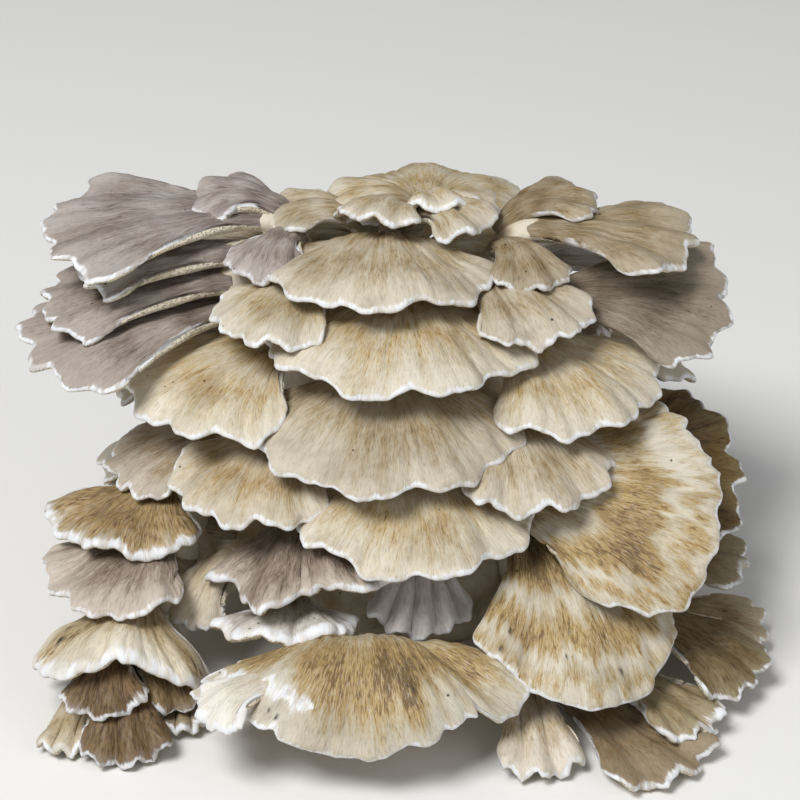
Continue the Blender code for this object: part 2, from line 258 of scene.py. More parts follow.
# what each kind of frond is coloured with, from its palest flesh to its darkest streaks
frondFinishes = {
    "ochre": dict(slot="ochre_frond", pale=(0.62, 0.57, 0.46), middle=(0.43, 0.30, 0.12),
                  dark=(0.12, 0.065, 0.02), streak=1.1, fibre=1.3),
    "tan": dict(slot="tan_frond", pale=(0.58, 0.52, 0.41), middle=(0.36, 0.26, 0.13),
                dark=(0.11, 0.065, 0.026), streak=1.5, fibre=1.2),
    "grey": dict(slot="grey_frond", pale=(0.52, 0.47, 0.40), middle=(0.26, 0.21, 0.165),
                 dark=(0.10, 0.072, 0.055), streak=1.5, fibre=1.2),
    "cream": dict(slot="cream_frond", pale=(0.72, 0.66, 0.53), middle=(0.46, 0.35, 0.19),
                  dark=(0.15, 0.085, 0.035), streak=1.4, fibre=1.1),
}
marginWhite = (0.79, 0.80, 0.82)
mottleShade = (0.60, 0.55, 0.48)
underside = (0.66, 0.60, 0.47)
undersideStain = (0.55, 0.40, 0.22)
# painted shade inside each pore
paintedPoreShade = (0.36, 0.28, 0.17)
soil = (0.02, 0.013, 0.008)
poresPerMetre = 1100.0
frondFlecks = dict(Scale=150.0, Size=0.10)      # cells in each metre, size in cells
fleshFlecks = dict(Scale=210.0, Size=0.16)


def newMaterial(name):
    material = bpy.data.materials.new(name)
    material.use_nodes = True
    return material, material.node_tree.nodes["Principled BSDF"]


def addBump(tree, shader, height, strength, distance):
    bump = tree.nodes.new("ShaderNodeBump")
    bump.inputs["Strength"].default_value = strength
    bump.inputs["Distance"].default_value = distance
    tree.links.new(height, bump.inputs["Height"])
    tree.links.new(bump.outputs["Normal"], shader.inputs["Normal"])


def makeFrondMaterial(name, look):
    material, shader = newMaterial(name)
    tree = material.node_tree
    grain = tree.nodes.new("ShaderNodeUVMap")
    grain.uv_map = "grain"
    place = tree.nodes.new("ShaderNodeTexCoord").outputs["Object"]

    fibres = useGroup(tree, radialFibres, Grain=grain.outputs["UV"])
    broad, fine, hair = (minus(tree, fibres.outputs[label], 0.5) for label in fibreNoise)
    brown = attribute(tree, "brown")
    # broad streaks bite hardest where the band is brown
    bite = plus(tree, brown, 0.3)
    streaks = plus(tree, times(tree, broad, look["streak"]), times(tree, fine, look["fibre"]))
    amount = plus(tree, brown, times(tree, streaks, bite))
    flesh = blendColours(tree, ramp(tree, amount, 0.0, 0.85), look["pale"], look["middle"])
    # short crisp streaks, and single hairs that are darker or paler than the flesh
    short = plus(tree, times(tree, brown, 0.72),
                 plus(tree, times(tree, fine, 2.3), times(tree, broad, 1.1)))
    flesh = blendColours(tree, ramp(tree, short, 0.58, 1.05, 0.0, 0.8), flesh, look["dark"])
    flesh = blendColours(tree, ramp(tree, hair, 0.04, 0.18, 0.0, 0.5), flesh, look["pale"])
    darkHair = times(tree, ramp(tree, hair, -0.03, -0.15, 0.0, 0.5), bite)
    flesh = blendColours(tree, darkHair, flesh, look["dark"])
    mottle = cloud(tree, place, 38.0, 4.0, 0.6)
    mottled = ramp(tree, mottle, 0.46, 0.68, 0.0, 0.55)
    flesh = blendColours(tree, mottled, flesh, mottleShade, "MULTIPLY")
    # each frond's own tone, which on some fronds is darkened as painted shade or lightened as
    # painted light
    tint = tree.nodes.new("ShaderNodeAttribute")
    tint.attribute_name = "tint"
    flesh = blendColours(tree, 1.0, flesh, tint.outputs["Color"], "MULTIPLY")
    rim = useGroup(tree, paleMargin, Edge=attribute(tree, "edge"), Rough=fibres.outputs["Fine"])
    patchy = ramp(tree, fibres.outputs["Broad"], 0.38, 0.56, 0.35, 1.0)
    flesh = blendColours(tree, times(tree, rim.outputs["Mask"], patchy), flesh, marginWhite)

    # cream underside with pores, painted shade in each pore, and ochre stains
    hole = useGroup(tree, pores, Vector=place, Scale=poresPerMetre)
    below = blendColours(tree, times(tree, hole.outputs["PaintedShade"], 0.6), underside, paintedPoreShade)
    below = blendColours(tree, ramp(tree, mottle, 0.45, 0.75, 0.0, 0.6), below, undersideStain)
    upper = ramp(tree, attribute(tree, "upper"), 0.2, 0.6)
    flesh = blendColours(tree, upper, below, flesh)
    speck = useGroup(tree, flecks, Vector=place, **frondFlecks).outputs["Mask"]
    speck = maths(tree, "MAXIMUM", times(tree, speck, 0.85), attribute(tree, "soil"))
    flesh = blendColours(tree, speck, flesh, soil)
    tree.links.new(flesh, shader.inputs["Base Color"])

    rough = ramp(tree, fibres.outputs["Fine"], 0.3, 0.7, 0.5, 0.75)
    tree.links.new(rough, shader.inputs["Roughness"])
    height = plus(tree, times(tree, fibres.outputs["Height"], upper),
                  times(tree, hole.outputs["Height"], minus(tree, 1.0, upper)))
    addBump(tree, shader, height, 0.9, 0.0007)
    return material


def makeFleshMaterial(name, look):
    # pale fibrous flesh of limbs and stem: stretched clouds over the object's own coordinates
    material, shader = newMaterial(name)
    tree = material.node_tree
    place = tree.nodes.new("ShaderNodeTexCoord").outputs["Object"]
    strand = cloud(tree, stretch(tree, place, (1, 1, 0.22)), 420.0, 3.0, 0.6)
    stain = cloud(tree, place, 30.0, 4.0, 0.6, 0.5)
    flesh = blendColours(tree, ramp(tree, stain, 0.42, 0.72), look["pale"], look["stain"])
    flesh = blendColours(tree, ramp(tree, strand, 0.55, 0.75, 0.0, 0.5), flesh, look["strand"])
    speck = useGroup(tree, flecks, Vector=place, **fleshFlecks).outputs["Mask"]
    flesh = blendColours(tree, times(tree, speck, 0.8), flesh, soil)
    tree.links.new(flesh, shader.inputs["Base Color"])
    tree.links.new(ramp(tree, strand, 0.3, 0.7, 0.6, 0.85), shader.inputs["Roughness"])
    addBump(tree, shader, strand, 0.7, 0.0008)
    return material


frondMaterials = {name: makeFrondMaterial(name + "_frond", look)
                  for name, look in frondFinishes.items()}
limbMaterial = makeFleshMaterial("limb_flesh", dict(
    pale=(0.66, 0.60, 0.48), stain=(0.42, 0.30, 0.17), strand=(0.50, 0.40, 0.26)))
stemMaterial = makeFleshMaterial("stem_flesh", dict(
    pale=(0.60, 0.53, 0.41), stain=(0.34, 0.24, 0.14), strand=(0.42, 0.33, 0.22)))
print("materials made")


# fronds

# Shape values are the solids' own, in mm and degrees. The rest is what the fine surface adds,
# with places from -1 to 1 across the fan and 0 to 1 along it. bands: brown as (along, amount)
# pairs. rim, lip, crinkle, scallop: white edge, curl and waves of the margin. margin: (across,
# mm shorter) pairs. tears: (across, depth, width). stains: (across, along, mm, amount). specks
# of soil: (across, along, mm). bare: where the torn top layer ends, (across, along). lappets:
# small fans that grow beside the frond. cell: the grid's step.
usual = dict(
    heading=0, rise=0, droop=30, reach=60, spread=120, side=0.74, arch=25, roll=0,
    ruffle=(2.0, 3, 0.0), lobes=(0.035, 5, 0.0), fold=(0.0, 0.0, 0.1), butt=15,
    finish="tan", cell=1.6, lip=1.4, crinkle=1.2, scallop=0.6, rim=1.4, tears=(), specks=(),
    # the per-frond colour factor: the frond's own tone, with painted shade or painted light on some
    # fronds
    stains=(), margin=((0, 0),), lappets=(), bare=(), tint=(1.0, 1.0, 1.0), thick=marginThick,
    bands=((0, 0.4), (0.15, 0.7), (0.3, 0.4), (0.42, 0.75), (0.6, 0.3), (0.75, 0.6),
           (0.88, 0.3), (1, 0.05)),
)


def lappet(root, heading, rise, droop, reach, spread=120, butt=12, **more):
    return dict(root=root, heading=heading, rise=rise, droop=droop, reach=reach, spread=spread,
                butt=butt, **more)


fronds = {
    "front_arch": dict(
        root=(-13.4, -84.6, 18), heading=1, rise=58, droop=134, reach=74, spread=164, side=0.88,
        arch=26, ruffle=(2.0, 3, 0.5), lobes=(0.03, 5, 0.0), fold=(0.6, 7.0, 0.10), butt=30,
        finish="ochre", cell=0.9, rim=1.7, crinkle=1.2, bare=(-0.2, 0.845),
        margin=((-1, 0), (-0.8, -3), (-0.7, -8), (-0.6, -10), (-0.52, -1), (-0.46, 3),
               (-0.4, 0.5), (-0.2, -4), (-0.1, 0), (0.2, -0.5), (0.3, 3), (0.38, 5), (0.47, 0.5),
               (0.5, -9), (0.6, -6), (0.7, -1), (0.8, 4), (1, 0)),
        tears=((-0.92, 4, 0.05), (-0.5, 4, 0.03), (-0.36, 2, 0.03), (0.475, 7, 0.022),
               (0.41, 2.5, 0.03), (0.3, 2, 0.03)),
        stains=((0.21, 0.84, 4, 1.0), (0.12, 0.77, 7, 0.5), (-0.2, 0.72, 5, 0.4),
               (-0.5, 0.76, 9, -0.5)),
        specks=((-0.38, 0.95, 1.1), (-0.42, 0.93, 0.7), (0.21, 0.8, 0.8), (0.23, 0.82, 1.0)),
        lappets=(lappet((-47, -119, 36), -58, 0, 44, 22, spread=106, side=0.8, arch=14,
                        ruffle=(0.8, 3, 0), tint=(1.2, 1.24, 1.36), cell=1.0,
                        rim=2.6, bands=((0, 0.5), (0.5, 0.2), (1, 0))),),
        bands=((0, 0.2), (0.4, 0.35), (0.55, 0.55), (0.64, 0.8), (0.72, 1.05), (0.79, 0.85),
               (0.86, 0.42), (0.92, 0.25), (1, 0.08))),
    "front_small": dict(
        root=(48, -79, 12.5), heading=8, droop=20, reach=44, spread=56, arch=20,
        tint=(1.2, 1.22, 1.3)),
    "right_fan_lower": dict(
        root=(52, -38, 54.8), heading=24.6, droop=40, reach=73, spread=106, side=0.86,
        arch=38, roll=6, lobes=(0.1, 0.5, -0.6), butt=24, finish="ochre", cell=0.9, rim=1.0,
        margin=((-1, -3), (-0.6, -5), (-0.4, -7), (-0.2, -8), (-0.1, -6), (0.1, -2), (0.2, 0),
               (0.3, 4), (0.4, 7), (0.5, 10), (1, 12)),
        stains=((-0.4, 0.4, 9, 0.8), (0.1, 0.35, 9, 0.5)),
        specks=((-0.73, 0.88, 1.3), (-0.75, 0.96, 1.0), (0.05, 0.91, 1.2), (-0.3, 0.86, 0.6)),
        bands=((0, 0.8), (0.3, 1.25), (0.55, 1.2), (0.62, 0.65), (0.67, 0.15), (0.71, 0.18),
               (0.76, 0.6), (0.81, 0.95), (0.86, 0.8), (0.9, 0.15), (0.93, 0.35), (0.97, 0.6),
               (1, 0.15))),
    "right_fan_upper": dict(
        root=(38, -33, 75.5), heading=70, rise=12, droop=26, reach=80, spread=104, side=0.76,
        arch=14, roll=-30, lobes=(0.025, 5, 0.0), butt=22, finish="ochre", cell=0.9, rim=1.0,
        margin=((-1, 12), (-0.9, 9), (-0.8, 3), (-0.7, -5), (-0.3, -8), (-0.2, -2.5), (0, 0),
               (0.1, -2), (0.2, 1.5), (0.4, 3), (0.6, 9), (0.8, 7), (1, 0)),
        tears=((0.35, 3, 0.04),), specks=((-0.94, 0.74, 1.1), (0.3, 0.6, 0.7)),
        bands=((0, 0.7), (0.3, 0.9), (0.5, 0.5), (0.58, 0.15), (0.64, 0.2), (0.69, 0.75),
               (0.77, 1.0), (0.84, 0.75), (0.88, 0.15), (0.91, 0.15), (0.94, 0.55), (0.98, 0.6),
               (1, 0.2)),
        stains=((0.42, 0.78, 14, -0.4), (-0.5, 0.82, 9, 0.35), (-0.2, 0.85, 8, 0.2))),
    # its dark colour factor is partly its own olive brown, partly painted shade
    "right_fan_behind": dict(
        root=(62.4, -9, 62.6), heading=92, rise=6, droop=10, reach=66, spread=105, arch=5,
        roll=-26, lobes=(0.04, 5, 0.0), finish="ochre", cell=1.2, tint=(0.27, 0.22, 0.11),
        bands=((0, 0.5), (0.5, 0.8), (0.8, 1.0), (0.93, 0.8), (1, 0.3))),
    "left_arch": dict(
        root=(-106, -64, 31), heading=-12, rise=20, droop=38, reach=37, spread=196, side=1.3,
        arch=56, lobes=(0.03, 5, 0.0), butt=20, finish="cream", cell=0.9, thick=5.4, rim=4.0,
        lip=0.6, crinkle=1.6,
        margin=((-1, 2), (-0.8, -3), (-0.5, -7), (-0.3, -8), (-0.2, -6), (0, 1.5), (0.1, 5),
               (0.3, 4), (0.4, -0.5), (0.7, -8), (0.9, -7), (1, 0)),
        stains=((-0.45, 0.85, 4, 0.9), (-0.35, 0.7, 3, 0.6), (0.67, 0.88, 4, 0.9)),
        specks=((-0.43, 0.8, 1.6), (-0.48, 0.72, 1.2), (0.67, 0.86, 1.4), (0.72, 0.9, 1.0)),
        bands=((0, 0.5), (0.25, 0.6), (0.42, 0.8), (0.6, 0.7), (0.75, 0.35), (1, 0.0))),
    # its dark colour factors, and its lappets', are partly its own brown, partly painted shade
    "left_foot": dict(
        root=(-112, -83, 13), heading=8, rise=6, droop=56, reach=36, spread=80, arch=44,
        finish="ochre", tint=(0.40, 0.34, 0.33), rim=1.6, crinkle=2.4, cell=1.1,
        lappets=(lappet((-114, -84, 19), -4, 14, 70, 25, spread=130, arch=40, butt=14, cell=1.1,
                        crinkle=1.6, rim=2),
                 lappet((-104, -78, 18), 40, 4, 60, 24, spread=110, arch=30, cell=1.2,
                        tint=(0.5, 0.46, 0.42))),
        bands=((0, 0.5), (0.4, 0.8), (0.7, 1.0), (0.9, 0.8), (1, 0.1))),
    "left_foot_outer": dict(
        root=(-124, -80, 6.5), heading=-14, droop=4, reach=28, spread=50, arch=6, finish="cream",
        tint=(0.8, 0.76, 0.7)),
    "left_foot_inner": dict(
        root=(-90, -71, 7.5), heading=8, droop=8, reach=24, spread=50, arch=10, finish="ochre",
        tint=(0.5, 0.46, 0.4)),
    "left_lower": dict(
        root=(-92, -41, 53), heading=-40, rise=4, droop=28, reach=44, spread=150, side=0.8,
        arch=30, finish="grey", cell=0.9,
        margin=((-1, -5), (-0.7, -3), (-0.4, 0), (0.3, 1), (0.5, 4), (0.6, 2), (0.8, 8), (1, 9)),
        tint=(1.0, 0.96, 0.94), lip=0.8, rim=1.2,
        bands=((0, 0.9), (0.3, 1.1), (0.55, 1.1), (0.7, 0.8), (0.82, 0.45), (0.93, 0.2),
               (1, 0.05))),
    "left_middle": dict(
        root=(-96, -21, 67), heading=-28, droop=14, reach=42, spread=176, side=0.84, arch=22,
        ruffle=(2.4, 3, 0.0), finish="ochre", cell=0.9, tint=(0.88, 0.87, 0.9),
        margin=((-1, -5), (-0.8, -5), (-0.6, -2), (-0.5, 2.5), (-0.3, 5), (0.2, 5), (0.4, 8),
               (0.5, 5), (0.9, 10), (1, 8)),
        lip=2.6, rim=3.0, thick=4.2, crinkle=1.7,
        specks=((0.74, 0.56, 1.1), (0.73, 0.72, 1.2), (0.2, 0.5, 0.6)),
        bands=((0, 0.6), (0.3, 0.9), (0.6, 1.0), (0.85, 0.85), (0.93, 0.5), (1, 0.0))),
    "left_small": dict(
        root=(-63, -8, 84), heading=-70, reach=46, spread=84, arch=20,
        tint=(0.86, 0.84, 0.86),
        lappets=(lappet((-72, -16, 42), -92, 0, 44, 28, butt=15),
                 lappet((-88, -38, 38), -96, 0, 40, 24, butt=15))),
    "centre_wavy": dict(
        root=(-34, -35, 65), heading=-8, rise=-2, droop=14, reach=48, spread=150, side=0.8,
        arch=14, roll=-14, ruffle=(3.0, 4, 0.0), finish="grey", cell=1.0, crinkle=2.4, rim=1.7,
        thick=4.0, tint=(0.98, 0.93, 0.90),
        margin=((-1, 0), (-0.7, -2), (-0.6, 5.5), (-0.4, 3.5), (-0.3, -2.5), (-0.2, -8),
               (-0.1, 2), (0, 9.5), (0.1, 8), (0.2, 4.5), (0.4, 0), (0.5, -5), (0.6, -7),
               (0.8, -4), (1, 0)),
        bands=((0, 0.7), (0.4, 0.9), (0.8, 0.8), (0.9, 0.5), (1, 0.0))),
    # its colour factor above 1 is painted light, lifting the flesh of a frond that lies in shade
    "centre_shelf": dict(
        root=(-44, -48, 25), heading=2, rise=24, droop=6, reach=38, side=0.8, arch=8,
        finish="grey", cell=1.0, margin=((-1, -4), (-0.3, -5), (0.5, -5), (0.7, 2), (1, 0)),
        thick=5.0, rim=5.0, crinkle=2.0, tint=(1.3, 1.35, 1.45)),
    "centre_left": dict(
        root=(-67, -43, 43.2), heading=-34, rise=-5, droop=50, reach=28, spread=84, arch=40,
        finish="cream", rim=1.8, tint=(0.9, 0.88, 0.86), bands=((0, 0.5), (0.5, 0.4), (1, 0.0))),
    # its colour factor above 1 is painted light, lifting the flesh of a frond that lies in shade
    "centre_folded": dict(
        root=(8, -49, 64), rise=-38, droop=18, reach=33, spread=100, side=0.8, arch=10,
        ruffle=(3.0, 5, 0.0), finish="grey", cell=1.0, tint=(1.25, 1.32, 1.5),
        bands=((0, 0.4), (0.5, 0.3), (1, 0.1))),
    "upper_left_1": dict(
        root=(-58, 35, 160), heading=-84, rise=6, droop=15, reach=74, spread=96, arch=10,
        finish="grey", tint=(0.84, 0.82, 0.88), cell=1.4,
        lappets=(lappet((-44, 28, 154), -22, 8, 46, 26), lappet((-46, 38, 158), -100, 24, 50, 30))),
    "upper_left_2": dict(
        root=(-68, 23, 150), heading=-78, rise=2, droop=8, reach=50, spread=64, arch=6,
        finish="grey", tint=(0.84, 0.82, 0.88)),
    "upper_left_3": dict(
        root=(-72, 17, 140), heading=-82, droop=12, spread=74, arch=10, roll=4,
        finish="grey", tint=(0.72, 0.69, 0.72),
        lappets=(lappet((-50, 24, 126), -100, 6, 40, 30, butt=15),
                 lappet((-46, 30, 106), -104, 6, 40, 32, butt=15))),
    "upper_left_4": dict(
        root=(-66, 17, 127), heading=-76, rise=4, droop=16, reach=76, spread=96, arch=14,
        finish="grey", tint=(0.76, 0.72, 0.74)),
    # the upper right fronds' lowered colour factors are partly their own grey-brown, partly painted
    # shade
    "upper_right_1": dict(
        root=(54, 31, 156.8), heading=82, rise=5, droop=15, reach=54, spread=100, arch=10,
        tint=(0.70, 0.66, 0.60),
        lappets=(lappet((42, 26, 151), 24, 8, 46, 26), lappet((43, 36, 156), 110, 24, 50, 30))),
    "upper_right_2": dict(
        root=(62, 19, 132), heading=84, rise=12, droop=25, spread=92, arch=10, roll=-26,
        finish="grey", tint=(0.62, 0.57, 0.50),
        lappets=(lappet((48, 26, 118), 102, 6, 40, 30, butt=15),
                 lappet((46, 30, 100), 98, 6, 40, 30, butt=15))),
    # the lower right fronds' dark colour factors are partly their own brown, partly painted shade
    # under the big fans
    "lower_right_1": dict(
        root=(93, -51, 22.4), heading=58, droop=24, reach=48, spread=74, arch=30,
        tint=(0.5, 0.46, 0.34), bands=((0, 0.5), (0.3, 0.7), (0.6, 0.9), (0.85, 0.75), (1, 0.1))),
    "lower_right_2": dict(
        root=(95.4, -34, 10.4), heading=76, rise=4, droop=12, reach=44, spread=80, arch=14,
        tint=(0.68, 0.62, 0.5)),
    "lower_right_3": dict(
        root=(88, -17, 25), heading=86, rise=10, droop=16, reach=44, spread=76, arch=20,
        tint=(0.5, 0.46, 0.36)),
    "lower_right_4": dict(
        root=(79, -71, 12.2), heading=46, droop=4, reach=45, spread=58, arch=14, finish="cream",
        cell=1.1, rim=2.2, tint=(0.5, 0.45, 0.34)),
    "lower_right_5": dict(
        root=(67, -82, 5.6), heading=42, droop=1, reach=54, spread=78, arch=2, finish="cream",
        tint=(0.45, 0.38, 0.30), lip=0.6, crinkle=0.7),
    "crown_1": dict(
        root=(4, -27, 89.9), heading=4, droop=38, reach=62, spread=150, finish="ochre", cell=1.1,
        rim=1.4),
    "crown_2": dict(
        root=(-41, -19, 93), heading=-30, reach=50, finish="ochre", cell=1.3,
        tint=(0.92, 0.9, 0.88)),
    "crown_3": dict(root=(38, -19, 101), heading=24, droop=32, reach=50, spread=110, cell=1.3),
    "crown_4": dict(
        root=(-4, -4, 112.5), heading=-4, rise=6, droop=40, reach=68, spread=160, cell=1.1),
    "crown_5": dict(
        root=(-44, 7, 116), heading=-52, rise=6, droop=34, spread=130, finish="ochre", cell=1.3),
    "crown_6": dict(
        root=(42, 7, 118), heading=46, rise=6, droop=34, reach=58, spread=130, finish="ochre",
        cell=1.3),
    "crown_7": dict(
        root=(0, 17, 132), heading=2, rise=16, droop=44, reach=66, spread=170, finish="ochre",
        cell=1.1),
    "crown_8": dict(
        root=(-6, 34, 149), heading=-6, rise=22, droop=46, reach=58, spread=176, cell=1.2,
        lappets=(lappet((2, 38, 158), -30, 34, 50, 26, spread=130),
                 lappet((6, 36, 156), 62, 30, 60, 28, spread=130),
                 lappet((-14, 36, 154), -96, 24, 56, 30))),
    "crown_left": dict(
        root=(-28, 16, 141.5), heading=-36, rise=10, droop=34, reach=46, spread=92, finish="ochre"),
    "crown_right": dict(root=(28, 18, 142), heading=38, rise=10, droop=34, reach=48, spread=92),
    "crown_9": dict(
        root=(10, 50, 154), heading=170, rise=8, droop=50, reach=50, spread=170, arch=30,
        finish="ochre",
        lappets=(lappet((-6, 48, 134), -92, 24, 44, 34), lappet((6, 48, 133), 92, 22, 44, 34),
                 lappet((10, 48, 156), 20, 36, 40, 22, spread=130),
                 lappet((8, 50, 154), -78, 28, 60, 30))),
    "side_left": dict(root=(-68, 14, 68), heading=-98, droop=36, reach=44, spread=110),
    "side_right": dict(root=(74, 12, 60), heading=98, droop=36, reach=48, spread=84),
    "back_top_1": dict(
        root=(0, 55, 140.8), heading=178, rise=8, droop=60, reach=66, spread=150, finish="ochre"),
    "back_top_2": dict(root=(-46, 53, 127), heading=-136, rise=8, droop=55, reach=64, spread=130),
    "back_top_3": dict(
        root=(46, 53, 125.5), heading=136, rise=8, droop=55, reach=64, spread=130, finish="grey"),
    "back_middle_1": dict(root=(2, 59, 98), heading=176, droop=56, reach=74, spread=150),
    "back_middle_2": dict(
        root=(-58, 41, 94), heading=-124, droop=50, reach=64, spread=130, finish="ochre"),
    "back_middle_3": dict(root=(58, 41, 97), heading=128, droop=50, reach=64, spread=130),
    "back_low_1": dict(
        root=(0, 62, 61), heading=182, droop=55, reach=76, spread=150, finish="ochre"),
    "back_low_2": dict(
        root=(-60, 41, 53), heading=-130, droop=50, reach=70, spread=130, finish="grey"),
    "back_low_3": dict(root=(60, 41, 53), heading=135, droop=50, reach=70, spread=130),
    "back_low_4": dict(root=(-76, 9, 40), heading=-92, reach=54, spread=110, finish="ochre"),
    "back_foot_1": dict(
        root=(-35, 58, 22), heading=-162, droop=20, reach=66, arch=20, finish="cream"),
    "back_foot_2": dict(
        root=(37, 58, 20), heading=158, droop=20, reach=66, arch=20, finish="cream"),
}


# furrows, fibrils and hairs on top of a frond: height, width and length in mm, and the seed
strands = ((0.42, 4.6, 34, 2), (0.26, 1.9, 17, 3), (0.14, 1.0, 9, 4))
frondRelief = dict(ring=0.22, swell=0.45, crumb=0.6, tornLayer=1.7)     # mm


def fanPlan(f, s, t, trim):
    # the fan laid flat: each line of constant s leaves the narrow neck straight ahead and is a
    # cubic Bezier curve that meets the margin at the angle s * spread / 2; trim shortens it
    angle = s * math.radians(f["spread"]) / 2
    depth, waves, phase = f["lobes"]
    phase = phase + 0.13 * f["root"][2]
    reach = f["reach"] * (f["side"] + (1 - f["side"]) * np.sqrt(1 - np.abs(s) ** 3))
    reach = reach * (1 + depth * np.sin(waves * math.pi * s + phase)
                     + 0.4 * depth * np.sin(2.3 * waves * math.pi * s + 2 * phase + 1)) - trim
    margin = (reach * np.cos(angle), reach * np.sin(angle))
    start = (-neckLength + 0 * s, s * f["butt"] / 2)
    straight = (-0.2 * neckLength + 0 * s, s * f["butt"] * 0.62)
    return [p0 * (1 - t) ** 3 + 3 * p1 * (1 - t) ** 2 * t + 3 * 0.42 * p3 * (1 - t) * t ** 2
            + p3 * t ** 3 for p0, p1, p3 in zip(start, straight, margin)]


def fanShape(f, s, t, trim=0.0, extra=0.0):
    # the flat fan bent to a circle along its length and another across it, then lifted along its
    # own normal by ruffles that grow with t to the power 2.2, a crease, and the extra relief
    forward, sideways = fanPlan(f, s, t, trim)
    across = math.radians(f["arch"]) / f["reach"] + 1e-6
    along = math.radians(f["droop"]) / f["reach"] + 1e-6
    rise = math.radians(f["rise"])
    slope = rise - along * forward
    first = rise + along * neckLength
    ahead = (math.sin(first) - np.sin(slope)) / along
    height = (np.cos(slope) - math.cos(first)) / along
    size, waves, phase = f["ruffle"]
    phase = phase + 0.05 * f["root"][0]
    where, deep, wide = f["fold"]
    grow = np.clip(t, 0, 1)
    lift = (np.cos(across * sideways) - 1) / across + extra
    lift = lift + size * grow ** 2.2 * np.sin(waves * math.pi * s + phase)
    lift = lift - deep * grow ** 1.5 * np.exp(-((s - where) / wide) ** 2)
    return np.stack((np.sin(across * sideways) / across,
                     -(ahead - np.sin(slope) * lift),
                     height + np.cos(slope) * lift), axis=-1)


def intoPlace(f, points):
    # roll about the frond's own Y, heading about Z, then out to its root
    roll, heading = math.radians(f["roll"]), math.radians(f["heading"])
    turnRoll = np.array([[math.cos(roll), 0, math.sin(roll)], [0, 1, 0],
                         [-math.sin(roll), 0, math.cos(roll)]])
    turnHeading = np.array([[math.cos(heading), -math.sin(heading), 0],
                            [math.sin(heading), math.cos(heading), 0], [0, 0, 1]])
    return points @ (turnHeading @ turnRoll).T + np.array(f["root"], dtype=float)


def rimSteps(share):
    # distances from an edge that give a round rim with even steps of angle
    return share * (1 - np.cos(np.radians([75, 60, 45, 30, 15, 0])))


def lengths(points, axis):
    # mm run from the first point to each one, along one way of the grid
    steps = np.linalg.norm(np.diff(points, axis=axis), axis=-1)
    start = np.zeros_like(np.take(steps, [0], axis=axis))
    return np.cumsum(np.concatenate((start, steps), axis=axis), axis=axis)


def fanGrid(f, half):
    # s from -1 to 1 across and t from inside the limb to 1 at the margin, closer at the rim
    rimT, rimS = 0.5 * f["thick"] / f["reach"], 0.5 * f["thick"] / half
    rows, columns = int((f["reach"] + neckLength) / f["cell"]), int(2 * half / f["cell"])
    t = np.concatenate((np.linspace(skinStart, 1 - rimT, rows + 1), 1 - rimSteps(rimT)))
    edge = 1 - rimSteps(rimS)
    s = np.concatenate((-edge[::-1], np.linspace(-1 + rimS, 1 - rimS, columns + 1), edge))
    return np.meshgrid(s, t, indexing="ij")


def marginTrim(f, s, t, at, index):
    # mm that the fan is shorter: scallops of three sizes, the fitted margin and the tears; and
    # how torn each place is
    flat = 0 * at
    trim = f["scallop"] * (wander(at / 11, flat, index) + 0.8 * wander(at / 5, flat, index + 50)
                           + 0.5 * wander(at / 2.3, flat, index + 51))
    trim = trim + np.interp(s, *zip(*f["margin"]))
    torn = flat
    for where, deep, wide in f["tears"]:
        near = np.clip(1 - np.abs(s - where) / wide, 0, 1)
        trim = trim + deep * near ** 0.7
        torn = torn + 1.5 * near
    return trim * eased((t - 0.4) / 0.5), torn


def outerShare(t):
    # 0 up to two thirds of the length, then up to 1 at the margin
    return eased((t - 0.66) / 0.34)


def marginLift(f, t, at, out, index):
    # mm along the normal: slow waves, crinkles that grow towards the margin, and the curled lip
    extra = 1.2 * np.clip(t, 0, 1) * wander(at / 19, out / 24, index + 9)
    extra = extra + f["crinkle"] * outerShare(t) * (wander(at / 8, out / 16, index + 17)
                                                    + 0.5 * wander(at / 3.6, out / 9, index + 18))
    return extra - f["lip"] * eased(1 - (1 - t) * f["reach"] / 9) ** 1.5


def halfThickness(f, s, t, at, out, toMargin, toSide, index):
    # mm, thinning to a round rim at the margin, the sides and the end of the neck
    ease = eased(t)
    thick = 0.5 * (neckThick * (1 - ease) + f["thick"] * ease) * (1 - 0.3 * np.abs(s) ** 4)
    thick = thick + 0.3 * np.exp(-((toMargin - 3.5) / 2.5) ** 2)
    thick = thick * (1 + 0.16 * outerShare(t) * wander(at / 4.5, out / 5, index + 21))
    rimT = 0.5 * f["thick"] / f["reach"]
    roundRim = np.sqrt(1 - (1 - np.clip((1 - t) / rimT, 0, 1)) ** 2)
    roundSide = np.sqrt(1 - (1 - np.clip(toSide / np.maximum(thick, 0.5), 0, 1)) ** 2)
    roundNeck = np.sqrt(1 - (1 - np.clip((t - skinStart) / 0.06, 0, 1)) ** 2)
    return thick * roundRim * roundSide * roundNeck


def topRelief(at, out, index):
    # mm: strands along the fan, fine rings and slow swells across it
    relief = flat = 0 * at
    for height, wide, long, seed in strands:
        relief = relief + height * wander(at / wide, out / long, index + seed)
    rings = np.sin(out / 1.9 + 2.5 * wander(at / 16, flat, index + 5))
    swells = wander(out / 6.5 + 0.8 * wander(at / 18, flat, index + 8), flat, index + 10)
    return relief + frondRelief["ring"] * rings + frondRelief["swell"] * swells


def brownAmount(f, s, t, at, out, half, index):
    # the bands, shifted in and out by noise, and the stains
    shift = (0.04 * wander(at / 15, 0 * at, index + 6) + 0.03 * wander(at / 4, 0 * at, index + 7)
             + 0.03 * wander(at / 1.7, out / 12, index + 11))
    brown = np.interp(t + shift, *zip(*f["bands"]))
    for where, along, size, amount in f["stains"]:
        far = np.hypot((s - where) * half, (t - along) * f["reach"] / 1.6) / size
        brown = brown + amount * np.exp(-far ** 2)
    return brown


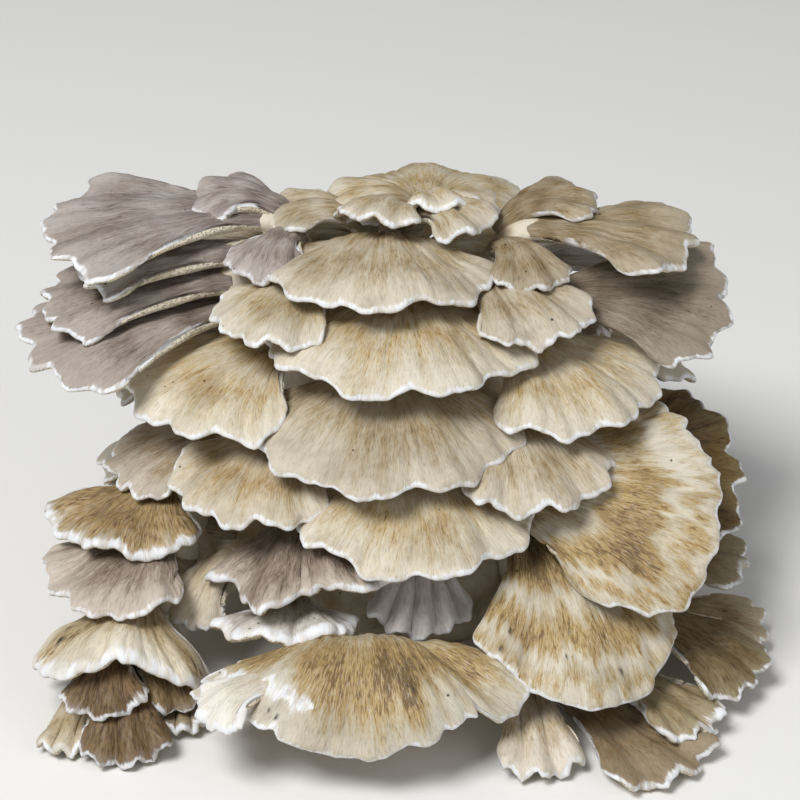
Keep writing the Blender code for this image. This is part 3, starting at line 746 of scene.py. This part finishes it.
def soilCrumbs(f, s, t, half):
    # 1 in the middle of each speck, falling to 0 at 1 times its size
    crumbs = 0 * s
    for where, along, size in f["specks"]:
        far = np.hypot((s - where) * half, (t - along) * f["reach"]) / size
        crumbs = np.maximum(crumbs, np.clip(1.6 - 1.6 * far, 0, 1))
    return crumbs


def closeSkin(top, bottom):
    # top and bottom share their outline, so the skin is closed
    n, m = top.shape[:2]
    above = np.arange(n * m).reshape(n, m)
    under = above.copy()
    under[1:-1, 1:-1] = n * m + np.arange((n - 2) * (m - 2)).reshape(n - 2, m - 2)
    points = np.concatenate((top.reshape(-1, 3), bottom[1:-1, 1:-1].reshape(-1, 3)))
    upQuads = np.stack((above[:-1, :-1], above[:-1, 1:], above[1:, 1:], above[1:, :-1]), axis=-1)
    downQuads = np.stack((under[:-1, :-1], under[1:, :-1], under[1:, 1:], under[:-1, 1:]), axis=-1)
    return points, np.concatenate((upQuads.reshape(-1, 4), downQuads.reshape(-1, 4)))


def both(values):
    # a value for each point of the top, then for each point that only the underside has
    return np.concatenate((values.ravel(), values[1:-1, 1:-1].ravel()))


def upperShare(n, m):
    # 1 on top, 0 underneath and 0.5 along the shared outline
    top = np.full((n, m), 0.5)
    top[1:-1, 1:-1] = 1
    return np.concatenate((top.ravel(), np.zeros((n - 2) * (m - 2))))


def frondSkin(f, index):
    # the middle surface P(s, t), then a skin half a thickness above and below it
    half = f["reach"] * math.radians(f["spread"]) / 2  # mm along half of the margin
    s, t = fanGrid(f, half)
    at, out = s * half, t * f["reach"]  # mm across and along
    trim, torn = marginTrim(f, s, t, at, index)
    middle = fanShape(f, s, t, trim, marginLift(f, t, at, out, index))

    acrossLength, alongLength = lengths(middle, 0), lengths(middle, 1)
    toSide = np.minimum(acrossLength, acrossLength[-1:] - acrossLength)
    toMargin = alongLength[:, -1:] - alongLength
    normal = np.cross(np.gradient(middle, axis=1), np.gradient(middle, axis=0))
    normal = normal / (np.linalg.norm(normal, axis=-1, keepdims=True) + 1e-12)

    edge = np.minimum(toMargin, toSide + 7 * (1 - eased(t / 0.55)))
    edge = edge / (f["rim"] * (1 + 0.5 * wander(at / 7, 0 * at, index + 31)) * (1 + torn))
    crumbs = soilCrumbs(f, s, t, half)
    brown = brownAmount(f, s, t, at, out, half, index)
    relief = topRelief(at, out, index) + frondRelief["crumb"] * crumbs
    if f["bare"]:
        # the top layer is torn off beyond a ragged line, which fades out to the right
        across, along = f["bare"]
        fade = eased((across - s) / 0.14)
        inside = (t - along) * f["reach"] + 2.6 * wander(at / 9, out / 9, index + 12)
        inside = inside + 1.4 * wander(at / 3, out / 3, index + 13)
        brown = brown * (1 - 0.5 * fade * eased(inside / 1.2))
        relief = relief - frondRelief["tornLayer"] * fade * eased(inside / 0.9 + 0.5)
        edge = np.minimum(edge, np.abs(inside - 1) / (2 * fade + 0.01))

    thick = halfThickness(f, s, t, at, out, toMargin, toSide, index)
    window = eased(t / 0.2) * np.clip(toMargin / 3, 0, 1) * np.clip(toSide / 3, 0, 1)
    points, quads = closeSkin(middle + normal * (thick + window * relief)[..., None],
                              middle - normal * thick[..., None])
    upper = upperShare(*s.shape)
    # a random change of tone, times the frond's colour factor, which holds painted shade or painted
    # light on some fronds
    shade = 0.93 + 0.14 * lattice(index, 2, 3)
    grain = (both(at) / 100 + index * 3.7, both(alongLength) / 100 + index * 1.3)
    masks = dict(brown=both(brown), edge=both(edge), upper=upper, soil=both(crumbs) * (upper > 0.4),
                 tint=np.tile([*(shade * c for c in f["tint"]), 1.0], (len(points), 1)),
                 grain=np.stack(grain, axis=-1))
    return intoPlace(f, points), quads, masks


def makeFrond(name, index):
    # the frond and its lappets, each a closed skin, in one mesh
    f = {**usual, **fronds[name]}
    skins = [frondSkin(f, index)]
    look = {key: f[key] for key in ("tint", "bands", "rim")}
    for count, small in enumerate(f["lappets"]):
        skins.append(frondSkin({**usual, **look, **small}, index + 60 * (count + 1)))
    before = np.cumsum([0] + [len(skin[0]) for skin in skins])
    points = np.concatenate([skin[0] for skin in skins])
    quads = np.concatenate([skin[1] + start for skin, start in zip(skins, before)])
    masks = {key: np.concatenate([skin[2][key] for skin in skins]) for key in skins[0][2]}
    mesh = newMesh(name, points * mm, quads)
    for key in ("brown", "edge", "upper", "soil"):
        paint(mesh, key, masks[key])
    layer = mesh.attributes.new("tint", "FLOAT_COLOR", "POINT")
    layer.data.foreach_set("color", masks["tint"].astype(np.float32).ravel())
    layer = mesh.uv_layers.new(name="grain")
    layer.data.foreach_set("uv", masks["grain"][quads.ravel()].astype(np.float32).ravel())
    finish = f["finish"]
    addPiece(name, mesh, frondMaterials[finish], "frond_" + name)


for index, name in enumerate(fronds):
    makeFrond(name, index)
print("fronds made:", len(fronds))


# limbs

# each limb's start on the base stem, its direction there, its radius in millimetres, the frond
# that it runs on to and the fronds on its side branches
limbs = {
    "front": dict(
        fork=(-8, -51, 12.5), way=(0, -1, 0.05), radius=9, leader="front_arch", branches=[]),
    "left": dict(
        fork=(-53, -8, 26), way=(-1, -0.2, 0.1), radius=17, leader="left_arch",
        branches=["left_foot", "left_foot_outer", "left_foot_inner", "left_lower", "left_middle",
                  "left_small", "centre_shelf", "centre_left", "side_left", "back_low_4"]),
    "right": dict(
        fork=(53, -8.6, 26.5), way=(1, -0.2, 0.1), radius=17, leader="lower_right_1",
        branches=["front_small", "right_fan_lower", "right_fan_upper", "right_fan_behind",
                  "lower_right_2", "lower_right_3", "lower_right_4", "lower_right_5",
                  "side_right"]),
    "upper_left": dict(
        fork=(-30, 16, 70), way=(-0.45, 0.25, 0.86), radius=15, leader="upper_left_1",
        branches=["upper_left_2", "upper_left_3", "upper_left_4", "crown_5", "crown_left",
                  "back_top_2", "back_middle_2"]),
    "upper_right": dict(
        fork=(30, 16, 70), way=(0.45, 0.25, 0.86), radius=15, leader="upper_right_1",
        branches=["upper_right_2", "crown_6", "crown_right", "back_top_3", "back_middle_3"]),
    "crown": dict(
        fork=(0, 4.6, 81), way=(0, 0.1, 1), radius=14, leader="crown_8",
        branches=["centre_wavy", "centre_folded", "crown_1", "crown_2", "crown_3", "crown_4",
                  "crown_7", "crown_9", "back_top_1"]),
    "back": dict(
        fork=(1, 49, 42.5), way=(0, 0.8, 0.6), radius=11, leader="back_low_1",
        branches=["back_middle_1", "back_low_2", "back_low_3", "back_foot_1", "back_foot_2"]),
}
# a ring's corners, the neck's cover, then mm, rounds, mm, mm
limbSkin = dict(corners=28, cover=1.03, voxel=1.5, relax=6, lumps=0.5, swell=0.35)


def bezier(p0, p1, p2, p3, t):
    t = np.asarray(t, dtype=float)[..., None]
    return p0 * (1 - t) ** 3 + 3 * p1 * (1 - t) ** 2 * t + 3 * p2 * (1 - t) * t ** 2 + p3 * t ** 3


def unit(v):
    return v / np.linalg.norm(v, axis=-1, keepdims=True)


def neckOf(name):
    # where a frond's neck starts, which way it goes, which way is across it, half its width
    f = {**usual, **fronds[name]}
    points = intoPlace(f, fanShape(f, np.array([0.0, 0.0, 0.5]), np.array([0.0, 0.2, 0.0])))
    return points[0], unit(points[1] - points[0]), unit(points[2] - points[0]), f["butt"] / 2


def closedTube(path, across, wide, tall):
    # rings of an ellipse with half axes wide and tall along the path, closed by a point at each end
    along = unit(np.gradient(path, axis=0))
    side = unit(across - along * np.sum(across * along, axis=-1, keepdims=True))
    up = np.cross(side, along)
    angle = np.linspace(0, 2 * math.pi, limbSkin["corners"], endpoint=False)
    rings = (path[:, None] + side[:, None] * (np.cos(angle) * wide[:, None])[..., None]
             + up[:, None] * (np.sin(angle) * tall[:, None])[..., None])
    n, m = rings.shape[:2]
    index = np.arange(n * m).reshape(n, m)
    around = np.roll(index, -1, axis=1)
    quads = np.stack((index[:-1], around[:-1], around[1:], index[1:]), axis=-1).reshape(-1, 4)
    startCap = np.stack((np.full(m, n * m), around[0], index[0]), axis=-1)
    endCap = np.stack((np.full(m, n * m + 1), index[-1], around[-1]), axis=-1)
    points = np.concatenate((rings.reshape(-1, 3), path[:1], path[-1:]))
    return points, quads.tolist() + startCap.tolist() + endCap.tolist()


def branch(start, startHandle, endHandle, radius, name, into):
    # a tapering branch from inside its carrier to a few millimetres inside a frond's neck
    neck, out, across, halfButt = neckOf(name)
    p = np.linspace(0, 1, 26)
    path = bezier(start, startHandle, endHandle, neck, p)
    path = np.concatenate((into, path, neck + out * np.array([[2.0], [4.0], [6.0]])))
    lead = len(into)
    girth = radius * (1 - p) + (twigRadius + 0.4) * p
    flare = eased((p - 0.55) / 0.45)
    wide = girth * (1 - flare) + halfButt * limbSkin["cover"] * flare
    tall = girth * (1 - flare) + neckThick / 2 * limbSkin["cover"] * flare
    end = np.array([0.94, 0.8, 0.45])
    wide = np.concatenate((np.full(lead, radius), wide, halfButt * end))
    tall = np.concatenate((np.full(lead, radius), tall, neckThick / 2 * end))
    return closedTube(path, across[None], wide, tall)


def makeLimb(name):
    row = limbs[name]
    fork, way = np.array(row["fork"], dtype=float), unit(np.array(row["way"], dtype=float))
    neck, out = neckOf(row["leader"])[:2]
    length = np.linalg.norm(neck - fork)
    spine = (fork, fork + way * max(length * 0.35, 12), neck - out * length * 0.3, neck)
    inStem = fork - way * np.array([[9.0], [6.0], [3.0]])
    shells = [branch(*spine[:3], row["radius"], row["leader"], inStem)]
    for frond in row["branches"]:
        end, out = neckOf(frond)[:2]
        # a side branch leaves the spine a little before the place nearest to its frond
        places = np.arange(2, 34) / 40
        near = places[np.argmin(np.linalg.norm(bezier(*spine, places) - end, axis=1))]
        leave = max(near - 0.12, min(15 / length, 0.42))
        start, onward = bezier(*spine, leave), bezier(*spine, leave + 0.02)
        run = np.linalg.norm(end - start)
        aim = unit(0.6 * unit(onward - start) + 1.4 * unit(end - start))
        thick = min(row["radius"] * (1 - leave) * 0.62 + twigRadius * 0.3, 8) + 0.6
        shells.append(branch(start, start + aim * run * 0.35, end - out * run * 0.36, thick, frond,
                             np.zeros((0, 3))))
    points = np.concatenate([shell[0] for shell in shells])
    faces, before = [], 0
    for shellPoints, shellFaces in shells:
        faces += [[i + before for i in face] for face in shellFaces]
        before += len(shellPoints)
    rough = bpy.data.meshes.new(name + "_rough")
    rough.from_pydata((points * mm).tolist(), [], faces)
    oneSkin("limb_" + name, rough, limbMaterial, 3 + len(row["branches"]))


def oneSkin(name, rough, material, seed):
    # overlapping shells become one skin, webbed at the forks, then it is given soft lumps:
    # value noise over sums of X, Y and Z moves each point along its normal
    draft = addObject(name + "_draft", rough)
    remesh = draft.modifiers.new("one skin", "REMESH")
    remesh.mode = "VOXEL"
    remesh.voxel_size = limbSkin["voxel"] * mm
    relax = draft.modifiers.new("relax", "SMOOTH")
    relax.factor = 0.5
    relax.iterations = limbSkin["relax"]
    bpy.context.view_layer.update()
    graph = bpy.context.evaluated_depsgraph_get()
    mesh = bpy.data.meshes.new_from_object(draft.evaluated_get(graph))
    bpy.data.objects.remove(draft, do_unlink=True)
    mesh.name = name
    count = len(mesh.vertices)
    points, normals = np.zeros(count * 3), np.zeros(count * 3)
    mesh.vertices.foreach_get("co", points)
    mesh.vertices.foreach_get("normal", normals)
    points, normals = points.reshape(-1, 3) / mm, normals.reshape(-1, 3)
    x, y, z = points.T
    lumps = wander((x + z) / 9, (y + 0.6 * z) / 9, seed)
    lumps = lumps + 0.5 * wander((x - z) / 4, (y + z) / 4, seed + 1)
    points = points + normals * (limbSkin["lumps"] * lumps + limbSkin["swell"])[:, None]
    mesh.vertices.foreach_set("co", (points * mm).astype(np.float32).ravel())
    mesh.update()
    mesh.shade_smooth()
    addPiece(name, mesh, material, name)


for name in limbs:
    makeLimb(name)
print("limbs made:", len(limbs))


# base stem

baseStem = dict(radius=50, height=76, lump=2.2, spare=1.5)    # mm
stemOutline = [(0.0, 1.0), (0.34, 0.96), (0.56, 0.82), (0.74, 0.60), (0.93, 0.36), (1.0, 0.16),
               (0.97, 0.03)]


def smoothed(row):
    # mean of each value and the three on either side
    return np.convolve(np.pad(row, 3, "edge"), np.ones(7) / 7, "valid")


def makeBaseStem():
    # a turned dome: radius follows the outline, pushed in and out by lumps and by folds that run
    # up and down; the last rows close flat on the cut
    shares = np.linspace(0, 1, 61)
    spots = np.linspace(0, 1, len(stemOutline))
    r, h = zip(*stemOutline)
    r = smoothed(np.interp(shares, spots, r) * baseStem["radius"])
    h = smoothed(np.interp(shares, spots, h) * baseStem["height"])
    angle = np.linspace(0, 2 * math.pi, 120, endpoint=False)
    ring, up = np.meshgrid(angle, h, indexing="xy")
    radius = np.repeat(r[:, None], len(angle), axis=1)
    folds = np.sin(7 * ring + 1.2 * np.sin(up / 11)) + 0.6 * np.sin(13 * ring + up / 7)
    lumps = wander(4 * np.cos(ring) + up / 12, 4 * np.sin(ring) + up / 15, 5)
    radius = radius * (1 + 0.018 * folds) + baseStem["lump"] * lumps * np.clip(radius / 20, 0, 1)
    radius = np.minimum(radius, baseStem["radius"] + baseStem["spare"])
    flat = np.array([0.985, 0.93, 0.6, 0.25])[:, None] * radius[-1:]
    radius = np.concatenate((radius[1:], flat))
    up = np.concatenate((up[1:], np.zeros_like(flat)))
    ring = np.repeat(angle[None], len(radius), axis=0)
    points = np.stack((radius * np.cos(ring), radius * np.sin(ring), up), axis=-1).reshape(-1, 3)
    n, m = radius.shape
    index = np.arange(n * m).reshape(n, m)
    around = np.roll(index, -1, axis=1)
    quads = np.stack((index[:-1], index[1:], around[1:], around[:-1]), axis=-1).reshape(-1, 4)
    top, bottom = n * m, n * m + 1
    points = np.concatenate((points, [[0, 0, h[0]], [0, 0, 0]]))
    topCap = np.stack((np.full(m, top), index[0], around[0]), axis=-1)
    bottomCap = np.stack((np.full(m, bottom), around[-1], index[-1]), axis=-1)
    mesh = bpy.data.meshes.new("base_stem")
    faces = quads.tolist() + topCap.tolist() + bottomCap.tolist()
    mesh.from_pydata((points * mm).tolist(), [], faces)
    mesh.shade_smooth()
    addPiece("base_stem", mesh, stemMaterial, "base_stem")


makeBaseStem()
print("base stem made")


# floor, light and camera

studio = dict(     # metres, watts and degrees, with the lens and sensor in mm
    floor=(0.80, 0.79, 0.77), floorHalf=4.0, sky=(0.92, 0.96, 1.0), skyPower=0.28,
    key=dict(place=(-0.85, -1.0, 2.1), size=0.95, power=54.0),
    fill=dict(place=(1.6, -1.2, 1.3), size=1.4, power=8.0), lightAim=(0, 0, 0.08),
    target=(0, -0.025, 0.108), elevation=30, distance=1.0, lens=112, sensor=36)


def makeFloor():
    mesh = bpy.data.meshes.new("floor")
    far = studio["floorHalf"]
    corners = [(-far, -far, 0), (far, -far, 0), (far, far, 0), (-far, far, 0)]
    mesh.from_pydata(corners, [], [(0, 1, 2, 3)])
    floor = addObject("floor", mesh)
    material, shader = newMaterial("floor")
    shader.inputs["Base Color"].default_value = (*studio["floor"], 1)
    shader.inputs["Roughness"].default_value = 0.9
    mesh.materials.append(material)


def makeLight(name, place, size, power):
    light = bpy.data.lights.new(name, "AREA")
    light.size = size
    light.energy = power
    lamp = addObject(name, light)
    lamp.location = place
    aim = Vector(studio["lightAim"]) - Vector(place)
    lamp.rotation_euler = aim.to_track_quat("-Z", "Y").to_euler()


def makeCamera():
    # looks down 30 degrees at the cluster's front, as the photograph does
    target, elevation = Vector(studio["target"]), math.radians(studio["elevation"])
    back = Vector((0, -math.cos(elevation), math.sin(elevation)))
    camera = addObject("camera", bpy.data.cameras.new("camera"))
    camera.location = target + studio["distance"] * back
    camera.rotation_euler = (target - camera.location).to_track_quat("-Z", "Y").to_euler()
    camera.data.lens = studio["lens"]
    camera.data.sensor_width = studio["sensor"]
    bpy.context.scene.camera = camera


makeFloor()
makeLight("key", **studio["key"])
makeLight("fill", **studio["fill"])
world = bpy.data.worlds.new("soft sky")
world.use_nodes = True
sky = world.node_tree.nodes["Background"]
sky.inputs["Color"].default_value = (*studio["sky"], 1)
sky.inputs["Strength"].default_value = studio["skyPower"]
bpy.context.scene.world = world
bpy.context.scene.view_settings.view_transform = "Standard"
makeCamera()
print("floor, light and camera placed")
